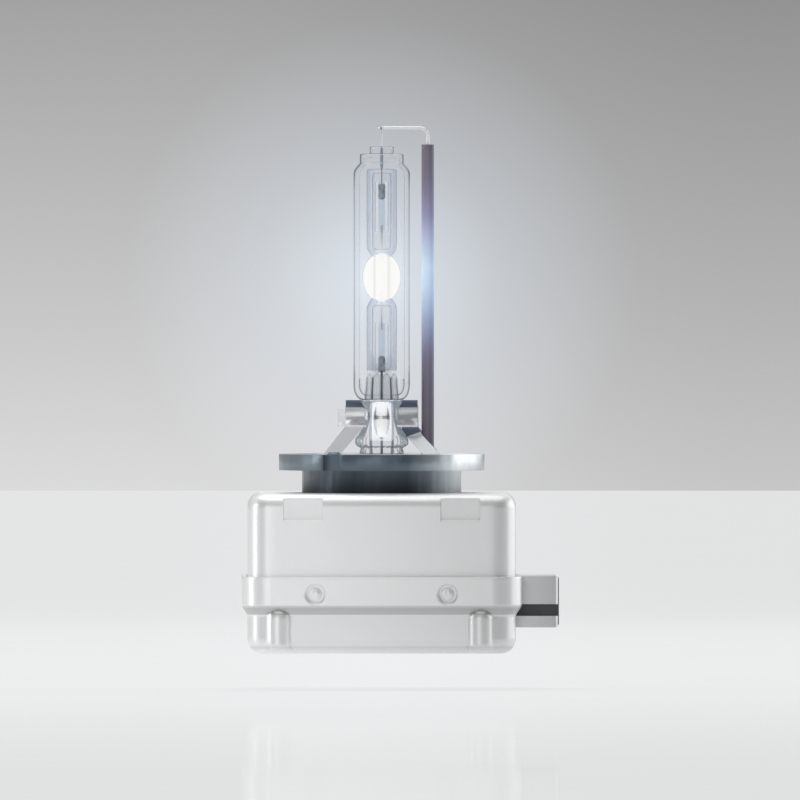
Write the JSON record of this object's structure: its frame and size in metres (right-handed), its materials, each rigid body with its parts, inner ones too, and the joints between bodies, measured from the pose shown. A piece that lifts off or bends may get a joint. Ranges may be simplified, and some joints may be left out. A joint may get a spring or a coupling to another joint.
{
  "type": "gas discharge headlight lamp",
  "caption": "Gas-discharge headlight lamp: quartz burner in an outer bulb on a glass stem, leg-mounted clamp, keyed round cap and a screened square igniter case with a side connector.",
  "frame": {"origin": "on the lamp axis at the front face of the cap's flange", "axes": "+Z along the lamp axis to the tip, +X to the connector, -Y is the side the keying notch is nearer to"},
  "size_m": [0.0494, 0.0444, 0.0821],
  "materials": {
    "bulb_glass": "clear doped quartz",
    "quartz": "clear fused quartz",
    "tungsten": "ground tungsten",
    "molybdenum": "etched molybdenum",
    "steatite": "unglazed white steatite",
    "sleeve_ceramic": "brownish grey alumina",
    "nickel": "bright nickel",
    "spring_steel": "rolled stainless strip",
    "cap_plastic": "moulded slate grey",
    "case_steel": "satin white nickel plate",
    "housing_plastic": "moulded black",
    "connector_plastic": "moulded dark grey",
    "connector_steel": "satin plate",
    "contact_brass": "tinned brass",
    "board_laminate": "green laminate",
    "ferrite": "sintered ferrite",
    "bobbin_plastic": "natural polymer",
    "copper": "enamelled copper",
    "resin": "cast potting resin",
    "tinned_copper": "tinned",
    "capacitor_film": "blue moulded case",
    "resistor_coat": "lacquered"
  },
  "bodies": {
    "root": {"outer_bulb": "bulb_glass", "glass_stem": "bulb_glass", "burner": "quartz", "upper_electrode": "tungsten", "lower_electrode": "tungsten", "upper_foil": "molybdenum", "lower_foil": "molybdenum", "upper_lead": "molybdenum", "lower_lead": "molybdenum", "lead_bush": "steatite", "lead_insulator": "steatite", "spark_gap_body": "steatite", "ceramic_sleeve": "sleeve_ceramic", "return_wire": "nickel", "return_weld": "nickel", "lead_collar": "nickel", "bulb_clamp": "spring_steel", "leg_front_left": "spring_steel", "leg_front_right": "spring_steel", "leg_back_left": "spring_steel", "leg_back_right": "spring_steel", "leg_ring": "spring_steel", "cap": "cap_plastic", "shield_can": "case_steel", "shield_pan": "case_steel", "case_rivets": "case_steel", "igniter_housing": "housing_plastic", "housing_cover": "housing_plastic", "connector_body": "connector_plastic", "connector_screen_upper": "connector_steel", "connector_screen_lower": "connector_steel", "lead_contact": "contact_brass", "return_terminal": "contact_brass", "connector_pins": "contact_brass", "circuit_board": "board_laminate", "transformer_core": "ferrite", "transformer_bobbin": "bobbin_plastic", "secondary_winding": "copper", "primary_winding": "copper", "potting": "resin", "high_voltage_lead": "tinned_copper", "spark_gap_electrodes": "tinned_copper", "capacitor_leads": "tinned_copper", "resistor_leads": "tinned_copper", "solder_joints": "tinned_copper", "storage_capacitor": "capacitor_film", "discharge_resistor": "resistor_coat"}
  },
  "joints": []
}
